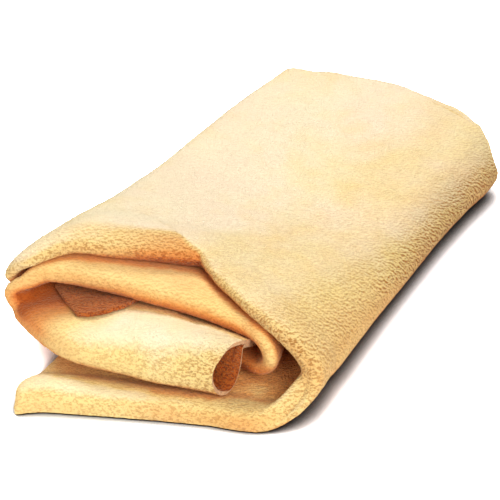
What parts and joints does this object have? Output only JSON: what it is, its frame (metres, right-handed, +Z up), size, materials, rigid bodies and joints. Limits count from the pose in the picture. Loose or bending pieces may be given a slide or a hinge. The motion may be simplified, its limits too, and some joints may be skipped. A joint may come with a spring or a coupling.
{
  "type": "chamois leather",
  "caption": "Soft suede drying leather, one hide folded in half and rolled flat into doubled layers, lying on its lowest layer with the folded front edges and a cut end showing.",
  "frame": {"origin": "on the table, in the middle of the folded bundle's outline", "axes": "+X from the left folds to the right folds, +Y from the rounded front folds to the open back edges, +Z up"},
  "size_m": [0.1788, 0.3474, 0.0551],
  "materials": {
    "rough_suede": "matte napped suede, cream yellow",
    "smooth_suede": "matte fine suede, warm buff"
  },
  "bodies": {
    "ground": {"ground_layer": "rough_suede", "right_outer_fold": "rough_suede"},
    "bundle": {"top_layer": "rough_suede", "left_outer_fold": "rough_suede", "under_layer": "smooth_suede", "right_inner_fold": "smooth_suede", "middle_layer": "smooth_suede", "left_inner_fold": "smooth_suede", "inner_layer": "rough_suede", "tucked_corner": "smooth_suede"}
  },
  "joints": [
    {"name": "open_fold", "type": "hinge", "parent": "ground", "child": "bundle", "pos_m": [0.07, 0, 0.0125], "axis": [0, 1, 0], "range_deg": [0, 155], "deforming": ["right_outer_fold"]}
  ]
}
